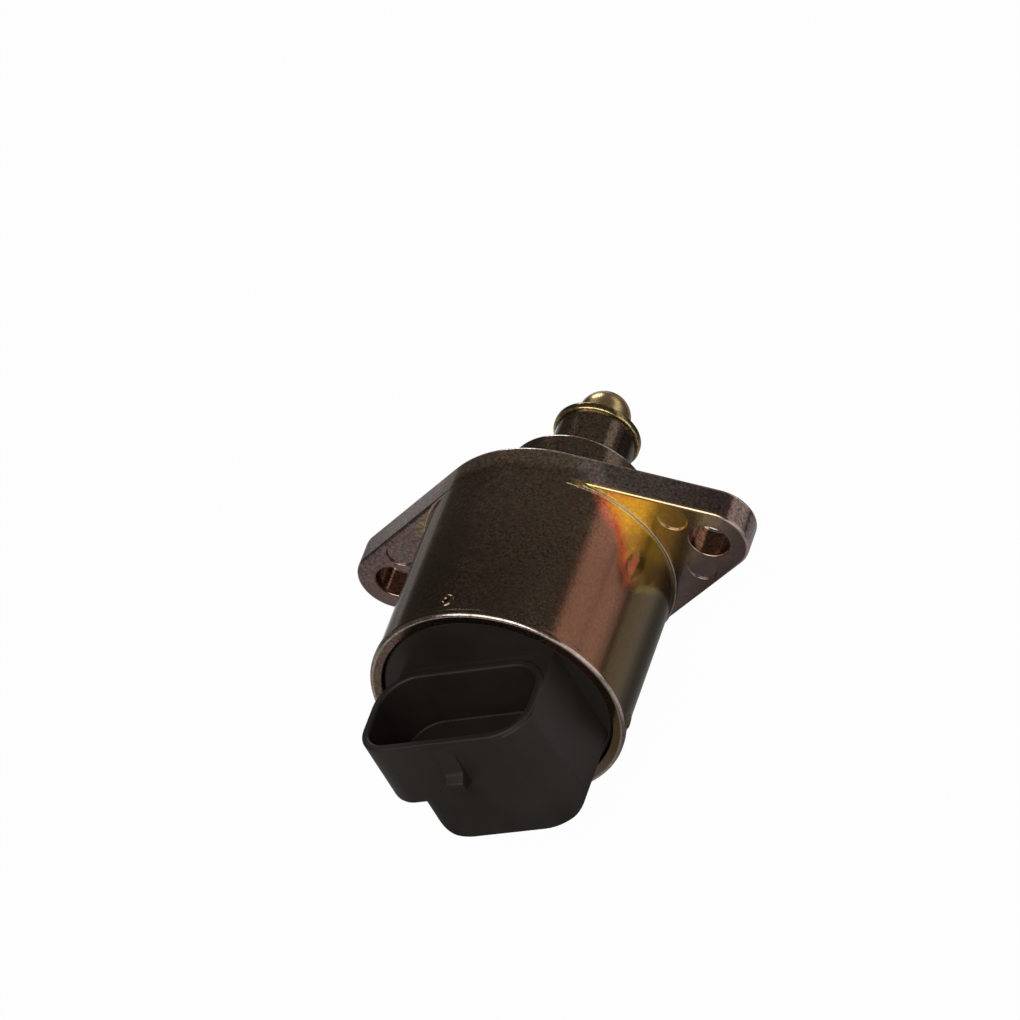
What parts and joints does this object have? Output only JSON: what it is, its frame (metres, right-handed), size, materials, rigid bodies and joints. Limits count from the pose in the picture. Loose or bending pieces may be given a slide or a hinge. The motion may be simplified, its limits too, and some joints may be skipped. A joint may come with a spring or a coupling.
{
  "type": "idle air control valve",
  "caption": "Stepper-driven idle air valve: plated can on a two-ear flange, brass pintle sliding in a nose, black rear cap with a right-angle plug socket.",
  "frame": {"origin": "centre of the flange's mounting face, on the valve axis", "axes": "+Y along the valve axis towards the pintle, +X towards one flange ear, +Z towards the socket mouth"},
  "size_m": [0.0604, 0.0749, 0.0354],
  "materials": {
    "zinc_plate": "zinc plate with yellow chromate, satin, olive to gold with a mauve sheen",
    "black_plastic": "glass-filled moulding, satin",
    "black_rubber": "matt",
    "bronze": "sintered, oiled",
    "steel": "ground",
    "cage_brass": "stamped",
    "hub_nylon": "moulded",
    "ferrite": "sintered",
    "brass": "turned, satin",
    "tin_plate": "tinned, satin",
    "field_iron": "stamped",
    "bobbin_nylon": "moulded",
    "copper": "enamelled wire"
  },
  "bodies": {
    "housing": {"valve_body": "zinc_plate", "connector_cap": "black_plastic", "cap_seal": "black_rubber", "mount_o_ring": "black_rubber", "guide_bush": "bronze", "rear_bush": "bronze", "key_plate": "steel", "preload_washer": "steel", "bearing_outer_race": "steel", "bearing_retainer": "steel", "terminal_1": "tin_plate", "terminal_2": "tin_plate", "terminal_3": "tin_plate", "terminal_4": "tin_plate", "front_field_cup": "field_iron", "front_field_plate": "field_iron", "rear_field_cup": "field_iron", "rear_field_plate": "field_iron", "front_bobbin": "bobbin_nylon", "rear_bobbin": "bobbin_nylon", "front_winding": "copper", "rear_winding": "copper"},
    "rotor": {"rotor_hub": "hub_nylon", "rotor_magnet": "ferrite", "drive_nut": "brass", "bearing_inner_race": "steel", "bearing_balls": "steel", "ball_cage": "cage_brass"},
    "plunger": {"pintle": "brass", "lead_screw": "steel"}
  },
  "joints": [
    {"name": "rotor_spin", "type": "hinge", "parent": "housing", "child": "rotor", "pos_m": [0, 0, 0], "axis": [0, 1, 0], "range_deg": [-1800, 1080]},
    {"name": "pintle_slide", "type": "slide", "parent": "housing", "child": "plunger", "axis": [0, 1, 0], "range_m": [-0.005, 0.003]}
  ],
  "couplings": [
    {"joint": "pintle_slide", "follows": "rotor_spin", "m_per_rad": 0.00015914}
  ]
}
